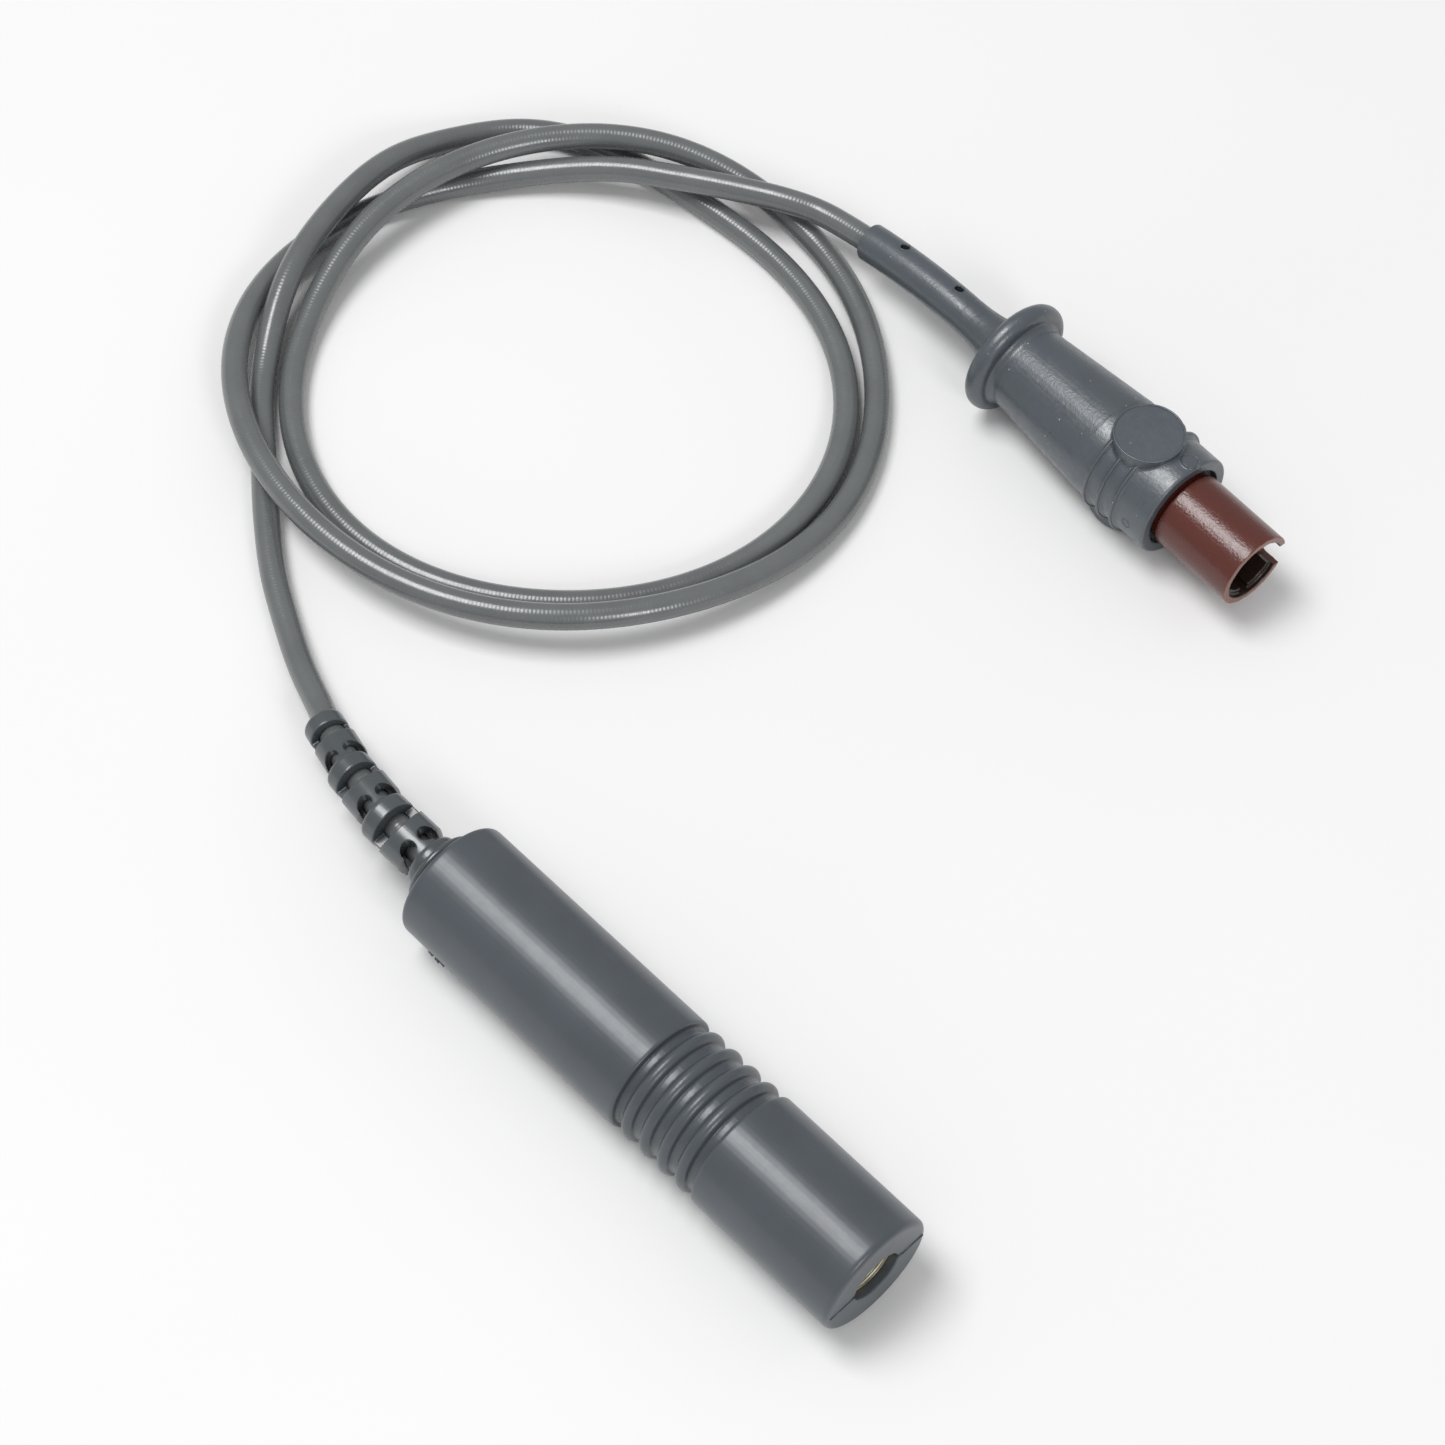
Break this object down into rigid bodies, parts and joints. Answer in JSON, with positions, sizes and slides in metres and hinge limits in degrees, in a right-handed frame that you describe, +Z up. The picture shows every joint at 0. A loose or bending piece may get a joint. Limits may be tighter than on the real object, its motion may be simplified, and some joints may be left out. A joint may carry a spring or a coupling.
{
  "type": "adapter lead",
  "caption": "Short adapter lead: grey moulded barrel with a quarter-inch jack socket, segmented strain relief, loosely coiled round cord and a moulded grip plug with a brown keyed shell.",
  "frame": {"origin": "On the floor under the middle of the moulded barrel, measured without the cord and what is on it", "axes": "Barrel along X with its socket facing +X, +Z up, the cord and plug lie towards -X and +Y"},
  "size_m": [0.1554, 0.1151, 0.0156],
  "materials": {
    "barrel_grey": "satin moulded PVC",
    "plug_grey": "satin moulded PVC, faintly mottled",
    "cord_grey": "semi-gloss PVC jacket",
    "shell_brown": "glossy moulded",
    "carrier_brown": "moulded",
    "brass": "gold-flashed brass",
    "spring_brass": "spring brass",
    "nickel": "nickel-plated sheet",
    "solder": "solder",
    "liner": "natural plastic",
    "block_black": "black plastic",
    "premould": "natural plastic",
    "wire_white": "white insulation",
    "wire_black": "black insulation"
  },
  "bodies": {
    "lead": {"barrel_shell": "barrel_grey", "jack_bushing": "brass", "jack_frame": "nickel", "jack_liner": "liner", "terminal_block": "block_black", "tip_tag": "spring_brass", "solder_joints": "solder", "signal_wire": "wire_white", "return_wire": "wire_black", "barrel_premould": "premould", "barrel_crimp": "nickel", "strain_relief": "barrel_grey", "relief_cord": "cord_grey", "lead_cord": "cord_grey", "cord_coil": "cord_grey", "plug_cord": "cord_grey", "plug_boot": "plug_grey", "boot_cord": "cord_grey", "plug_grip": "plug_grey", "keyed_shell": "shell_brown", "contact_carrier": "carrier_brown", "contact_pins": "brass", "plug_premould": "premould", "plug_crimp": "nickel", "plug_signal_wire": "wire_white", "plug_return_wire": "wire_black"},
    "tip_spring": {"tip_spring": "spring_brass"}
  },
  "joints": [
    {"name": "tip_spring_flex", "type": "hinge", "parent": "lead", "child": "tip_spring", "pos_m": [0.0021, 0, 0.00373], "axis": [0, 1, 0], "range_deg": [0, 9], "stiffness_Nm_per_rad": 0.02}
  ]
}
